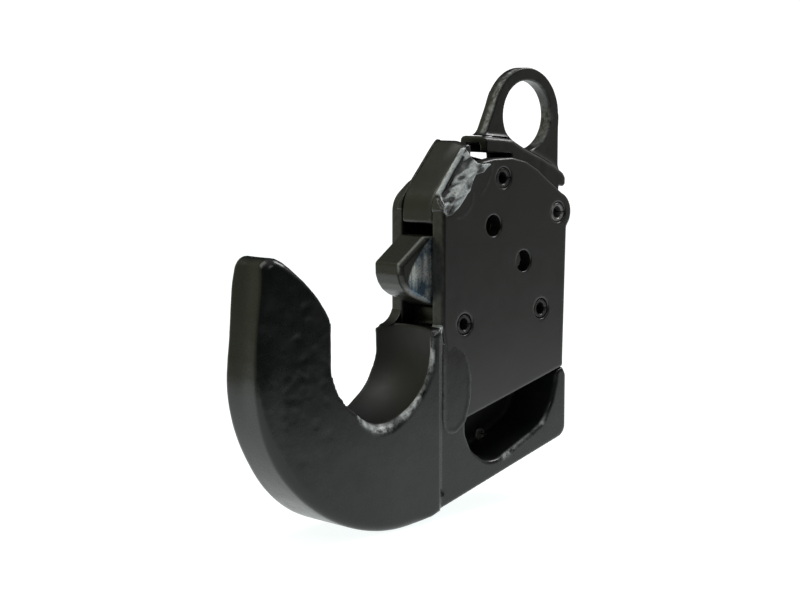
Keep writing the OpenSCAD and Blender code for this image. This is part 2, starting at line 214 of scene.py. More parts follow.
def surface(field, low, high, step):
    """Quads on the field's zero surface, one vertex in each cell that the surface crosses."""
    axes = [low[i] + step * np.arange(int(math.ceil((high[i] - low[i]) / step)) + 1) for i in range(3)]
    shape = tuple(len(a) for a in axes)
    d = np.broadcast_to(
        field(axes[0][:, None, None], axes[1][None, :, None], axes[2][None, None, :]), shape
    ).astype(np.float32)
    d = np.where(d == 0, np.float32(1e-6), d)
    s = d < 0
    cell = (slice(0, -1), slice(1, None))
    inside = sum(s[cell[i], cell[j], cell[k]].astype(np.int8) for i in (0, 1) for j in (0, 1) for k in (0, 1))
    active = (inside > 0) & (inside < 8)
    ids = np.full(active.shape, -1, np.int64)
    ii, jj, kk = np.nonzero(active)
    ids[ii, jj, kk] = np.arange(len(ii))
    total = np.zeros((len(ii), 3))
    count = np.zeros(len(ii))
    corners = [(i, j, k) for i in (0, 1) for j in (0, 1) for k in (0, 1)]
    for a in corners:
        for axis in range(3):
            if a[axis]:
                continue
            b = list(a)
            b[axis] = 1
            da = d[ii + a[0], jj + a[1], kk + a[2]]
            db = d[ii + b[0], jj + b[1], kk + b[2]]
            hit = (da < 0) != (db < 0)
            t = np.where(hit, da / np.where(hit, da - db, 1), 0)
            p = np.array(a, float)[None, :].repeat(len(ii), 0)
            p[:, axis] = t
            total += p * hit[:, None]
            count += hit
    v = np.stack([ii, jj, kk], 1) + total / count[:, None]
    v = v * step + np.array([a[0] for a in axes])
    quads = []
    for axis in range(3):
        o1, o2 = (axis + 1) % 3, (axis + 2) % 3
        first = [slice(None)] * 3
        second = [slice(None)] * 3
        first[axis], second[axis] = slice(0, -1), slice(1, None)
        change = s[tuple(first)] != s[tuple(second)]
        at = np.array(np.nonzero(change)).T
        keep = (at[:, o1] > 0) & (at[:, o2] > 0) & (at[:, o1] < shape[o1] - 1) & (at[:, o2] < shape[o2] - 1)
        at = at[keep]
        starts_inside = s[at[:, 0], at[:, 1], at[:, 2]]
        ring = []
        for s1, s2 in ((0, 0), (1, 0), (1, 1), (0, 1)):
            c = at.copy()
            c[:, o1] -= 1 - s1
            c[:, o2] -= 1 - s2
            ring.append(ids[c[:, 0], c[:, 1], c[:, 2]])
        q = np.stack(ring, 1)
        q[~starts_inside] = q[~starts_inside][:, ::-1]
        quads.append(q)
    return v, np.concatenate(quads)


def slope(field, v, e=0.06):
    d0 = field(v[:, 0], v[:, 1], v[:, 2])
    g = np.empty_like(v)
    for i in range(3):
        w = v.copy()
        w[:, i] += e
        g[:, i] = (field(w[:, 0], w[:, 1], w[:, 2]) - d0) / e
    return d0, g


def settle(field, v, quads, step, rounds=3):
    """Evens the mesh out and puts each vertex on the surface itself."""
    edges = np.concatenate([quads[:, [i, (i + 1) % 4]] for i in range(4)])
    edges = np.unique(np.sort(edges, 1), axis=0)
    degree = np.bincount(edges.ravel(), minlength=len(v))[:, None]
    for _ in range(rounds):
        mean = np.zeros_like(v)
        for i in range(3):
            mean[:, i] = np.bincount(edges[:, 0], v[edges[:, 1], i], len(v))
            mean[:, i] += np.bincount(edges[:, 1], v[edges[:, 0], i], len(v))
        v = v + 0.5 * (mean / np.maximum(degree, 1) - v)
        for _ in range(2):
            d, g = slope(field, v)
            size = np.maximum((g * g).sum(1), 0.2)
            move = -(d / size)[:, None] * g
            far = np.linalg.norm(move, axis=1, keepdims=True)
            v = v + move * np.minimum(1, 0.6 * step / np.maximum(far, 1e-9))
    return v


def piece(name, v_mm, faces, body, nodes, slot, material, squash=None):
    me = bpy.data.meshes.new(name)
    me.from_pydata((np.asarray(v_mm) * MM).tolist(), [], [list(map(int, f)) for f in faces])
    me.validate()
    me.update()
    me.shade_smooth()
    o = bpy.data.objects.new(name, me)
    bpy.context.scene.collection.objects.link(o)
    me.materials.append(material)
    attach(o, body)
    if nodes:
        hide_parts(*nodes)
    if squash:
        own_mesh(o)
    return o


def sculpt(name, field, nodes, body, slot, material, step, thin=None, masks=None, margin=1.2):
    """A piece from a distance field, meshed inside its CAD nodes' box."""
    lows, highs = zip(*(box_mm(n) for n in nodes))
    low, high = np.min(lows, 0) - margin, np.max(highs, 0) + margin
    step = step * COARSE
    v, quads = surface(field, low, high, step)
    v = settle(field, v, quads, step)
    o = piece(name, v, quads, body, nodes, slot, material)
    for key, mask in (masks or {}).items():
        values = np.broadcast_to(mask(v[:, 0], v[:, 1], v[:, 2]), len(v)).astype(np.float32)
        o.data.attributes.new(key, "FLOAT", "POINT").data.foreach_set("value", values)
    if thin:
        m = o.modifiers.new("Thin", "DECIMATE")
        m.ratio = thin
        w = o.modifiers.new("Flat", "WEIGHTED_NORMAL")
        w.weight = 60
    return o


# -------------------- materials


class Tree:
    """A node tree, with short ways to add to it."""

    def __init__(self, owner):
        owner.use_nodes = True
        self.tree = owner.node_tree

    def add(self, kind, **settings):
        node = self.tree.nodes.new(kind)
        for key, value in settings.items():
            setattr(node, key, value)
        return node

    def feed(self, socket, value):
        """Sets a socket to a number or a colour, or links an output to it."""
        if isinstance(value, tuple):
            socket.default_value = (*value, 1.0)
        elif isinstance(value, (int, float)):
            socket.default_value = value
        else:
            self.tree.links.new(value, socket)

    def mix(self, fac, a, b):
        """A colour mix, whose colour sockets are numbers 6, 7 and, for the result, 2."""
        m = self.add("ShaderNodeMix", data_type="RGBA")
        for index, value in ((0, fac), (6, a), (7, b)):
            self.feed(m.inputs[index], value)
        return m.outputs[2]


class Nodes(Tree):
    """A material's node tree."""

    def __init__(self, name):
        self.mat = bpy.data.materials.new(name)
        super().__init__(self.mat)
        self.bsdf = self.tree.nodes["Principled BSDF"]
        self.place = self.add("ShaderNodeTexCoord").outputs["Object"]

    def put(self, **inputs):
        """Feeds the shader's inputs, named with _ for a space."""
        for key, value in inputs.items():
            self.feed(self.bsdf.inputs[key.replace("_", " ")], value)

    def noise(self, per_m, detail=3.0, rough=0.55, stretch=None):
        n = self.add("ShaderNodeTexNoise")
        for key, value in (("Scale", per_m), ("Detail", detail), ("Roughness", rough)):
            n.inputs[key].default_value = value
        source = self.place
        if stretch:
            m = self.add("ShaderNodeMapping")
            m.inputs["Scale"].default_value = stretch
            self.feed(m.inputs["Vector"], source)
            source = m.outputs["Vector"]
        self.feed(n.inputs["Vector"], source)
        return n.outputs["Fac"]

    def spread(self, value, low, high, to_low=0.0, to_high=1.0):
        m = self.add("ShaderNodeMapRange")
        for key, number in (("From Min", low), ("From Max", high), ("To Min", to_low), ("To Max", to_high)):
            m.inputs[key].default_value = number
        self.feed(m.inputs["Value"], value)
        return m.outputs["Result"]

    def math(self, kind, a, b):
        m = self.add("ShaderNodeMath", operation=kind)
        for socket, value in zip(m.inputs, (a, b)):
            self.feed(socket, value)
        return m.outputs["Value"]

    def mask(self, name):
        return self.add("ShaderNodeAttribute", attribute_name=name).outputs["Fac"]

    def bump(self, layers):
        """layers: (height output, depth in mm)."""
        normal = None
        for height, depth in layers:
            b = self.add("ShaderNodeBump")
            b.inputs["Strength"].default_value = 1.0
            b.inputs["Distance"].default_value = depth * MM
            self.feed(b.inputs["Height"], height)
            if normal is not None:
                self.feed(b.inputs["Normal"], normal)
            normal = b.outputs["Normal"]
        self.put(Normal=normal)


def paint(name, base, alt, rough, peel, peel_per_m, lumps, pale_edge_and_highlight, specular):
    """Black semi-gloss paint: orange peel, soft lumps, and a paler colour where the edge mask says, which is
    a painted highlight on the forging's lips, the bridge's near edge and the eye, and a paler band on the
    plates' and lever's edges.
    """
    n = Nodes(name)
    blotch = n.noise(70, 4.0, 0.6)
    colour = n.mix(n.spread(blotch, 0.35, 0.68), base, alt)
    speck = n.spread(n.noise(1500, 2.0, 0.5), 0.66, 0.74)
    colour = n.mix(n.math("MULTIPLY", speck, 0.35), colour, DUST)
    pale_edge_noise = n.spread(n.noise(420, 5.0, 0.7), 0.36, 0.62)
    pale_edge_amount = n.math("MULTIPLY", n.mask("edge"), pale_edge_noise)
    colour = n.mix(n.math("MULTIPLY", pale_edge_amount, 0.8), colour, pale_edge_and_highlight)
    shine = n.spread(n.noise(150, 4.0, 0.6), 0.3, 0.7, *rough)
    shine = n.math("ADD", shine, n.math("MULTIPLY", n.mask("dull"), 0.25))
    n.put(Base_Color=colour, Roughness=shine, Specular_IOR_Level=specular)
    n.bump([(n.noise(160, 3.0, 0.5), lumps), (n.noise(peel_per_m, 2.0, 0.5), peel)])
    return n.mat


def steel(name, base, alt, rough, depth=0.012, metal=1.0):
    """Bare or plated steel with fine machining lines along Y."""
    n = Nodes(name)
    blotch = n.noise(260, 4.0, 0.6)
    lines = n.noise(900, 3.0, 0.6, stretch=(1.0, 0.12, 1.0))
    tone = n.math("ADD", n.math("MULTIPLY", blotch, 0.6), n.math("MULTIPLY", lines, 0.4))
    colour = n.mix(n.spread(tone, 0.35, 0.65), base, alt)
    n.put(Base_Color=colour, Roughness=n.spread(lines, 0.3, 0.7, *rough), Metallic=metal)
    n.bump([(lines, depth), (n.noise(500, 3.0, 0.6), depth * 0.7)])
    return n.mat


DUST = (0.02, 0.02, 0.018)
# Pale edge colour for the plates and the lever: a paler band along their edges, and a painted highlight along
# the bridge's near edge.
PALE_EDGE_TINT = (0.075, 0.08, 0.082)
PLATE_BLACK = (0.0058, 0.006, 0.0052), (0.008, 0.0082, 0.007)
LEVER_COAT = (*PLATE_BLACK, (0.27, 0.38), 0.014, 850, 0.035)
# The forging's pale edge colour is a painted highlight on the seat's lip, the pocket's lip and the seam's
# rim.
FORGING = paint("forging_paint_black", (0.0046, 0.0054, 0.0054), (0.0064, 0.0074, 0.0073), (0.22, 0.32),
                0.014, 700, 0.05, pale_edge_and_highlight=(0.7, 0.73, 0.73), specular=0.41)
PLATE = paint("plate_paint_black", *PLATE_BLACK, (0.28, 0.38), 0.012, 900, 0.03, PALE_EDGE_TINT, specular=0.55)
LEVER = paint("lever_paint_black", *LEVER_COAT, PALE_EDGE_TINT, specular=0.49)
# The eye's pale edge colour is a painted highlight on its left rim and on its hole's wall.
EYE_PAINT = paint("eye_paint_black", *LEVER_COAT, pale_edge_and_highlight=(0.46, 0.48, 0.48), specular=0.49)


# -------------------- sizes read from the frame

HALF_HOUSE = box_mm("left_side_plate")[1][1]
INNER = box_mm("front_bridge")[1][1]
CHEEK = box_mm("hook_body")[1][1]
PLATE_FRONT = box_mm("right_side_plate")[0][0]
REAR = box_mm("hook_body")[1][0]
NOSE_X = box_mm("hook_body")[0][0]
BOTTOM = box_mm("hook_body")[0][2]
UPPER, PIVOT = centre_xz("upper_roll_pin"), centre_xz("lever_pivot_pin")
REAR_PIN, FRONT_PIN = centre_xz("rear_roll_pin"), centre_xz("front_roll_pin")
POCKET_PIN, DRIVE = centre_xz("pocket_roll_pin"), centre_xz("drive_pin")
PIN_R = (box_mm("upper_roll_pin")[1] - box_mm("upper_roll_pin")[0])[2] / 2
LOCKS, LOCK_R = (mount_xz("lower_lock_hole"), mount_xz("upper_lock_hole")), 4.1

BALL_R = 28.0
OUTER_AT, OUTER_R = (7.2, -4.0), 61.7
SOLE_ANGLE = math.radians(15.5)
CHEEK_END, HOOK_TOP = 28.8, 7.0
PLATE_LOW_A, PLATE_LOW_B = (43.5, -28.8), (99.0, -14.4)


def sole_z(x):
    start = (OUTER_AT[0] + OUTER_R * math.sin(SOLE_ANGLE), OUTER_AT[1] - OUTER_R * math.cos(SOLE_ANGLE))
    return start[1] + (x - start[0]) * math.tan(SOLE_ANGLE)


# -------------------- hook forging

CHEEK_OUTLINE = Outline(
    [
        (-18.0, 5.5), (-21.2, 8.8), (-24.4, 14.6), (-26.2, 18.0), (-29.2, 22.6), (-32.0, 25.9), (-35.0, 29.5),
        (-39.3, 34.0), (-42.0, 36.3), (-44.4, 37.6),
    ]
    + arc((-46.6, 33.2), 4.8, 72, 180, 10)
    + [(-51.8, 29), (-53.2, 15.5), (-54.3, 2)]
    + arc(OUTER_AT, OUTER_R, 180, 285.5, 60)
    + [(CHEEK_END, sole_z(CHEEK_END)), (CHEEK_END, HOOK_TOP), (25, 5.5), (22, 4.5)]
)
SHANK_OUTLINE = Outline(rounded([
    (CHEEK_END - 5, sole_z(CHEEK_END - 5)), (REAR, sole_z(REAR) + 0.2, 5), (REAR, PLATE_LOW_B[1] - 3.4, 1.5),
    (PLATE_LOW_B[0], PLATE_LOW_B[1] - 0.3), (PLATE_LOW_A[0], PLATE_LOW_A[1] - 0.3),
    (PLATE_LOW_A[0] - 6, PLATE_LOW_A[1] - 0.3), (PLATE_FRONT + 3, -11), (PLATE_FRONT, HOOK_TOP),
    (CHEEK_END - 5, HOOK_TOP),
]))
TONGUE_OUTLINE = Outline(rounded([
    (CHEEK_END - 5, HOOK_TOP - 0.5), (37, HOOK_TOP - 0.5, 1.5), (37, 14.2, 1.5), (79, 14.2, 1), (79, 2.7),
    (98.5, 2.7), (98.5, -18.4), (43.5, -38.8), (CHEEK_END - 5, -40),
]))
POCKET_OUTLINE = Outline(rounded([
    (43.5, -25.5), (95.2, -12.1), (94.4, -20, 2), (92.0, -27.5, 10), (87.4, -35.4, 8), (78.5, -39.6, 12),
    (69.8, -43.4, 12), (62.2, -46.8, 10), (54.7, -47.0, 10), (46.6, -41.5, 8), (43.5, -34.5, 4),
]))
POCKET_FLOOR, POCKET_BORE_R = box_mm("pocket_roll_pin")[0][1] + 1.2, 2.8
LIP_R = 24.7
DIMPLE, DIMPLE_R = (30.3, -55.3), 1.1
TAPER_START, NOSE_HALF = 8.0, 8.0
TAPER_R = ((TAPER_START - NOSE_X) ** 2 + (CHEEK - NOSE_HALF) ** 2) / (2 * (CHEEK - NOSE_HALF))


def half_thickness(x):
    back = np.maximum(TAPER_START - x, 0)
    return CHEEK - TAPER_R + np.sqrt(np.maximum(TAPER_R ** 2 - back ** 2, 1.0))


def seat_field(x, y, z):
    return np.sqrt(x * x + y * y + np.minimum(z, 0) ** 2) - BALL_R


# Places where the forging's flank is dented or scuffed, as (x, z, reach, depth)
DENTS = [
    (-36, 20, 4, 0.2), (-32, 14, 4, 0.24), (-38, 9, 4, 0.16), (-27, -1, 5, 0.16), (-42, -4, 4, 0.1),
    (-31, -22, 3, 0.12), (-27, -26, 4, 0.1), (-36, -34, 4, 0.1), (-12, -38, 7, 0.1), (6, -48, 9, 0.1),
]


def flank_wear(x, y, z):
    """Soft hammer marks, deepest on the nose's flank."""
    rough_zone = ramp(-x, 12, 26) * ramp(z, -26, -6) * 0.85 + 0.15
    u, w = x * 0.8 + z * 0.6, z * 0.8 - x * 0.6
    crumple = noise(u, y * 0.3, w, 3.6, 1) * 0.08 + noise(w + 40, y * 0.3, u, 2.0, 2) * 0.06
    waves = noise(u, y * 0.5, w, 11, 3) * 0.05
    d = waves + crumple * rough_zone + 0.02
    for cx, cz, reach, depth in DENTS:
        q = ((x - cx) ** 2 + ((z - cz) * 1.2) ** 2) / (reach * reach)
        d = d + depth * np.exp(-q * 2.2) * (0.7 + 0.6 * noise(x, y, z, 3.4, 4))
    return d


def lip_reach(x, z):
    """The worn lip's outer radius by its place round the seat, and how far outside its arc a point is."""
    turn = np.degrees(np.arctan2(z, x))
    away = 1 - ramp(turn, -136, -118) * (1 - ramp(turn, 8, 18))
    return LIP_R + 3.4 * np.exp(-((turn + 92) / 24) ** 2) - 5.0 * away, away


def hook_field(x, y, z):
    side = np.abs(y)
    from_back = np.where(z < OUTER_AT[1], OUTER_R - np.hypot(x - OUTER_AT[0], z - OUTER_AT[1]), x - NOSE_X)
    inward = ramp(from_back, 2.5, 8)
    outer_rim = (3.4 - 2.0 * ramp(z, -38, -8)) * (1 - inward)
    rim = np.maximum(0.9, outer_rim - 2.3 * ramp(x, 14, 27) * (1 - inward))
    rim = rim + (4.0 - rim) * ramp(z, 25, 37) * ramp(from_back, 1, 5) + 0.8 * ramp(x, 24, 28)
    outline = CHEEK_OUTLINE(x, z)
    swell = 0.9 * ramp(-x, 42, 52) * ramp(-z, -12, 8)
    flank = side - half_thickness(x) + 0.05 - swell + np.clip(flank_wear(x, y, z), 0, 1) * ramp(side, 3, 8)
    face_dish = 0.55 * np.exp(-(y / 5.5) ** 2) * ramp(-x, 44, 50) * ramp(z, -30, 5)
    cheek = both(outline + 0.1 + face_dish, flank, rim)
    shank = both(SHANK_OUTLINE(x, z) + 0.02, side - HALF_HOUSE + 0.1 + 0.05 * noise(x, y, z, 9, 5), 1.0)
    tongue = np.maximum(TONGUE_OUTLINE(x, z), side - INNER + 0.05)
    d = either(cheek, shank, 2.0)
    d = np.minimum(d, tongue)
    reach, away = lip_reach(x, z)
    lip_r = reach - (CHEEK - side) * 1.1 + 0.4 * noise(x, y, z, 4.5, 6)
    d = without(d, (np.hypot(x, z) - lip_r) * 0.66, 0.9 - 0.6 * away)
    d = without(d, seat_field(x, y, z), 0.5)
    pocket = both(POCKET_OUTLINE(x, z) - 0.2 * noise(x, y, z, 6, 8), y - POCKET_FLOOR, 2.0)
    d = without(d, pocket, 1.5)
    d = without(d, rod_y(x, z, FRONT_PIN, PIN_R + 0.05))
    d = without(d, np.maximum(rod_y(x, z, POCKET_PIN, POCKET_BORE_R), POCKET_FLOOR - 2 - y))
    dimple = np.sqrt((x - DIMPLE[0]) ** 2 + (y + HALF_HOUSE) ** 2 + (z - DIMPLE[1]) ** 2) - DIMPLE_R
    return without(d, dimple, 0.3)


def lip_highlight_mask(x, y, z):
    """Painted highlight along the near side of the seat's lip and the pocket's lip, broken up by noise."""
    reach, away = lip_reach(x, z)
    lip = np.exp(-((np.hypot(x, z) - reach + 0.9) / 1.1) ** 2) * ramp(-y, 13.0, 14.6) * (1 - away)
    pocket = 1.5 * np.exp(-(POCKET_OUTLINE(x, z) - 0.3) ** 2) * ramp(-y, 12.4, 13.6) * ramp(-z, 30, 36)
    broken = ramp(noise(x, y, z, 7.5, 7), -0.45, 0.0) * 0.85 + 0.15
    pocket = pocket * ramp(x, 60, 68) * (1 - ramp(x, 84, 91))
    return np.clip((lip * 1.8 + pocket) * broken, 0, 1)


def seat_mask(x, y, z):
    """The ball seat and the pocket, where the paint is dull."""
    seat = 1 - ramp(np.abs(seat_field(x, y, z)), 0.3, 1.0)
    return np.clip(seat + (1 - ramp(POCKET_OUTLINE(x, z), -0.5, 0.6)) * (z < -12) * (y < 10), 0, 1)


sculpt("hook_forging", hook_field, ["hook_body"], "hook", "forging_paint", FORGING, 0.72,
       masks={"edge": lip_highlight_mask, "dull": seat_mask})

# -------------------- side plates

EAR_R = 8.0
PLATE_BACK = [
    (46.5, 64.5, 3), (52, 68.5, 3), (58.5, 69.5, 6), (68.5, 69.7, 9), (76.5, 68, 9), (83.5, 64.5, 9),
    (88.5, 61, 4),
    (PIVOT[0] + EAR_R * 0.35, PIVOT[1] + EAR_R * 0.93),
] + [(*p, 0) for p in arc(PIVOT, EAR_R, 66, -28, 14)] + [
    (100.4, 41.5, 2), (99, -10.4, 2), (*PLATE_LOW_B, 1.2), (*PLATE_LOW_A, 1.0),
    (PLATE_LOW_A[0] - 6, PLATE_LOW_A[1], 2), (PLATE_FRONT + 3, -11, 4),
]
PLATE_OUTLINE = Outline(rounded([
    (PLATE_FRONT, HOOK_TOP, 0.8), (PLATE_FRONT, 50.5, 2.5), (32.5, 55.5, 2), (38.5, 60, 3),
] + PLATE_BACK))
FAR_OUTLINE = Outline(rounded([
    (PLATE_FRONT, HOOK_TOP, 0.8), (PLATE_FRONT, 54.0, 9), (38.5, 60, 9),
] + PLATE_BACK))


# The weld on the top front corner slopes from the bridge's ridge down to the plate's face
SLOPE_FOOT, SLOPE_ALONG = (42.6, 58.2), (0.65, 0.76)
RIDGE_UP = 6.9
SLOPE_SCALE = 0.755    # turns a height over the sloping face into a distance from it
WELD_END_Z = 50.3


def slope_place(x, z):
    """Distance along the sloping weld's foot and up from it."""
    u, w = x - SLOPE_FOOT[0], z - SLOPE_FOOT[1]
    return u * SLOPE_ALONG[0] + w * SLOPE_ALONG[1], w * SLOPE_ALONG[0] - u * SLOPE_ALONG[1]


def slope_field(x, out, z, foot=0.0, bend=True):
    along, up = slope_place(x, z)
    up = (up - foot) * (ramp(along, -14.5, -7.5) if bend else 1.0)
    return (out - HALF_HOUSE + up * (HALF_HOUSE - INNER) / (RIDGE_UP - foot)) * SLOPE_SCALE


def slope_point(along, up, out):
    """A point near the sloping weld, from places along and up it and a distance out from the middle."""
    return (
        SLOPE_FOOT[0] + along * SLOPE_ALONG[0] - up * SLOPE_ALONG[1], out,
        SLOPE_FOOT[1] + along * SLOPE_ALONG[1] + up * SLOPE_ALONG[0],
    )


# How far the sloping weld reaches, as (along, up)
WELD_PATCH = Outline([
    slope_point(along, up, 0)[::2] for along, up in (
        (-14.0, 1.6), (-11.8, -0.3), (-8.5, -1.0), (-3.8, -1.6), (1.4, -1.9), (5.2, -0.8), (7.6, -0.6),
        (9.2, -1.6), (11.0, -3.0), (13.0, -3.7), (16.8, -5.0), (15.6, -3.4), (13.2, -1.0), (12.2, 1.0),
        (13.1, 3.0), (14.9, 5.6), (16.0, 9.0), (-9.5, 10.5), (-13.0, 6.5),
    )
])


def grinder_arcs(x, z):
    """Two faint curved marks beside the weld."""
    inner = np.abs(rod_y(x, z, (38, 56.3), 8.6)) + 20 * ramp(z, 57, 59) + 20 * ramp(37 - x, 0, 3)
    outer = np.abs(rod_y(x, z, (38, 71), 19.7)) + 20 * ramp(z, 68, 70) + 20 * ramp(56 - z, 0, 3)
    return np.exp(-(np.minimum(inner, outer) / 0.4) ** 2)


def plate_field(x, y, z):
    depth = np.abs(y)
    outer = depth - HALF_HOUSE + 0.03 * noise(x, y, z, 22, 11)
    outer = outer - 0.05 * grinder_arcs(x, z) * (y < 0)
    slab = both(np.where(y < 0, PLATE_OUTLINE(x, z), FAR_OUTLINE(x, z)) + 0.02, outer, 1.1)
    cut = np.maximum(-slope_field(x, -y, z) - 0.3, WELD_PATCH(x, z) + 0.5)
    slab = np.maximum(slab, np.where(y < 0, -cut, -5.0))
    slab = both(slab, INNER + 0.02 - depth, 0.4)
    for at in (UPPER, PIVOT, REAR_PIN, FRONT_PIN):
        slab = without(slab, rod_y(x, z, at, PIN_R + 0.02))
        cone = (np.hypot(x - at[0], z - at[1]) - (PIN_R + 0.4 - (HALF_HOUSE - depth))) * 0.7
        slab = without(slab, cone, 0.15)
    for at in LOCKS:
        slab = without(slab, rod_y(x, z, at, LOCK_R), 0.45)
    return slab


def plate_edges(x, y, z):
    return np.exp(-(PLATE_OUTLINE(x, z) / 0.8) ** 2) * 0.35 + grinder_arcs(x, z) * 0.5 * (y < -HALF_HOUSE + 1)


for name in ("right_side_plate", "left_side_plate"):
    sculpt(name.replace("_side", "") + "_shell", plate_field, [name], "hook", "plate_paint", PLATE, 0.5,
           thin=0.3, masks={"edge": plate_edges})

# -------------------- bridge, guide and welds

def weld_coat():
    """Thin glossy paint over a raw bead, dark in the laps, with a painted highlight where the edge mask says:
    pale streaks on the crests.
    """
    n = Nodes("weld_bead_coat")
    fine = n.noise(1300, 4.0, 0.65)
    base = n.mix(n.spread(n.noise(320, 4.0, 0.6), 0.35, 0.65), (0.008, 0.009, 0.0088), (0.02, 0.022, 0.0225))
    # painted highlight: pale streaks where the edge mask says
    pale = n.math("MULTIPLY", n.mask("edge"), n.spread(fine, 0.3, 0.6, 0.5, 1.0))
    colour = n.mix(pale, base, (0.62, 0.67, 0.68))
    n.put(Base_Color=colour, Roughness=n.spread(fine, 0.3, 0.7, 0.24, 0.42), Specular_IOR_Level=0.65)
    n.bump([(n.noise(420, 3.0, 0.6), 0.07), (fine, 0.025)])
    return n.mat


WELD = weld_coat()
BRIDGE_OUTLINE = Outline(rounded([
    (PLATE_FRONT, 45.5, 1.2), (PLATE_FRONT, 55, 14), (39.5, 65, 20), (48.8, 76, 1.6),
    (51.8, 76.5, 1.2), (51.8, 62, 0.8), (44, 45.5, 1),
]))


def bridge_field(x, y, z):
    near = ramp(-y, 0, INNER) * 1.4
    d = both(BRIDGE_OUTLINE(x, z + near * ramp(z, 66, 74)), np.abs(y) - INNER + 0.02, 0.9)
    return d + 0.06 * noise(x, y, z, 7, 21) + 0.05


# The edge mask paints a highlight along the bridge's near edge.
sculpt("bridge_block", bridge_field, ["front_bridge"], "hook", "plate_paint", PLATE, 0.5, thin=0.5,
       masks={"edge": lambda x, y, z: 0.5 * ramp(-y, 5.5, 7.5) * np.exp(-(BRIDGE_OUTLINE(x, z) / 1.2) ** 2)})

GUIDE_LOW, GUIDE_HIGH = box_mm("latch_top_guide")
GUIDE_OUTLINE = Outline(rounded([
    (GUIDE_LOW[0], GUIDE_LOW[2], 0.6), (GUIDE_HIGH[0], GUIDE_LOW[2], 0.6),
    (GUIDE_HIGH[0], GUIDE_HIGH[2], 0.4), (47.9, GUIDE_HIGH[2]), (GUIDE_LOW[0], 45.5),
]))
sculpt("latch_guide_pad", lambda x, y, z: both(GUIDE_OUTLINE(x, z), np.abs(y) - INNER + 0.02, 0.4),
       ["latch_top_guide"], "hook", "inner_steel", LEVER, 0.5, thin=0.4)


def weld_streak(x, y, z):
    """Ripples that run across the slope at a low angle."""
    return noise(x * 0.9 + z * 0.44, y * 0.5, (z * 0.9 - x * 0.44) * 4.2, 4.2, 31)


def weld_groove(x, y, z):
    """The dark gap beside the ridge, wider at its lower end."""
    return capsule(
        x, -y, z, slope_point(-6.5, 4.9, INNER + 1.9), slope_point(11.0, 5.3, INNER + 1.4), 0.75, 0.3,
    ) + 0.2 * noise(x, y, z, 2.6, 38)


def weld_ends(d, up, x, z):
    """Ends a sloping weld at its ridge's height and at the bridge's outline."""
    return both(both(d, up - RIDGE_UP - 0.2, 0.8), BRIDGE_OUTLINE(x, z) - 0.3, 0.6)


def bridge_weld(side):
    """The near one is rough, with a ridge, a groove and a cold lap; the far one was ground smooth."""
    def field(x, y, z):
        out = side * y
        up = slope_place(x, z)[1]
        rough = noise(x, y, z, 2.6, 32) * 0.1 + noise(x, y, z, 1.3, 33) * 0.06
        if side > 0:
            d = slope_field(x, out, z, 2.7, False) - 0.1 + rough * 0.3 + 1.1 * ramp(53.0 - z, 0, 3)
            d = both(weld_ends(d, up, x, z), out - HALF_HOUSE - 0.05, 0.5)
            return np.maximum(np.maximum(d, INNER - 0.1 - out), WELD_END_Z - z)
        patch = WELD_PATCH(x, z) + 0.35 * noise(x, y, z, 2.4, 37)
        d = weld_ends(slope_field(x, out, z) - 0.1 + weld_streak(x, y, z) * 0.36 + rough, up, x, z)
        elbow = slope_point(-8.0, RIDGE_UP - 0.9, INNER + 0.9)
        ridge = capsule(x, out, z, elbow, slope_point(13.4, RIDGE_UP - 0.4, INNER + 0.2), 1.2, 1.0)
        bend = capsule(x, out, z, elbow, (32.2, HALF_HOUSE - 1.3, 52.2), 1.1, 0.8)
        d = either(d, either(ridge, bend, 0.5) + 0.1 * noise(x, y, z, 2.0, 34), 0.4)
        d = without(d, weld_groove(x, y, z), 0.25)
        lap = capsule(x, out, z, (33.6, 13.4, 54.0), (37.2, 13.0, 56.4), 0.8, 0.8)
        d = without(d, lap + 0.2 * noise(x, y, z, 1.6, 36), 0.3)
        d = both(d, both(patch, out - HALF_HOUSE - 0.2, 0.3), 0.3)
        film = both(both(patch, PLATE_OUTLINE(x, z) + 0.3, 0.3), out - HALF_HOUSE - 0.2, 0.3)
        film = np.maximum(film, np.maximum(HALF_HOUSE - 1.2 - out, up - 2.0))
        return np.maximum(either(d, film, 0.5), INNER - 0.1 - out)

    return field


# A painted highlight on the near weld: pale streaks across the slope and a band along the ridge, left out in
# the groove and at the front end.
def weld_highlight(x, y, z):
    along, up = slope_place(x, z)
    streaks = 0.95 - 0.9 * ramp(weld_streak(x, y, z), 0.0, 0.55) + 0.2 * noise(x, y, z, 1.6, 50)
    streaks = np.maximum(np.clip(streaks, 0, 1), ramp(up, 5.9, 6.4) * (1 - ramp(up, 7.1, 7.6)))
    dark = np.exp(-(np.maximum(weld_groove(x, y, z), 0) / 0.5) ** 2)
    front = ramp(BRIDGE_OUTLINE(x, z), -1.1, -0.3) * (1 - ramp(along, -8.5, -7.0))
    return streaks * (1 - dark) * (1 - front) * (y < 0)


for side, name in ((-1, "right_bridge_weld"), (1, "left_bridge_weld")):
    sculpt(name.replace("_weld", "_bead"), bridge_weld(side), [name], "hook", "weld_paint",
           WELD if side < 0 else PLATE, 0.4, masks={"edge": weld_highlight}, margin=4.4)

SEAM_OUTLINE = Outline(rounded([
    (30.5, 1.2, 1.0), (37.0, 1.0, 7), (43.2, -3.0, 8), (45.9, -12.5, 16), (45.9, -22.0, 14), (43.0, -30.5, 7),
    (37.5, -34.2, 5), (31.5, -33.0, 4), (30.5, -26.0, 4),
]))


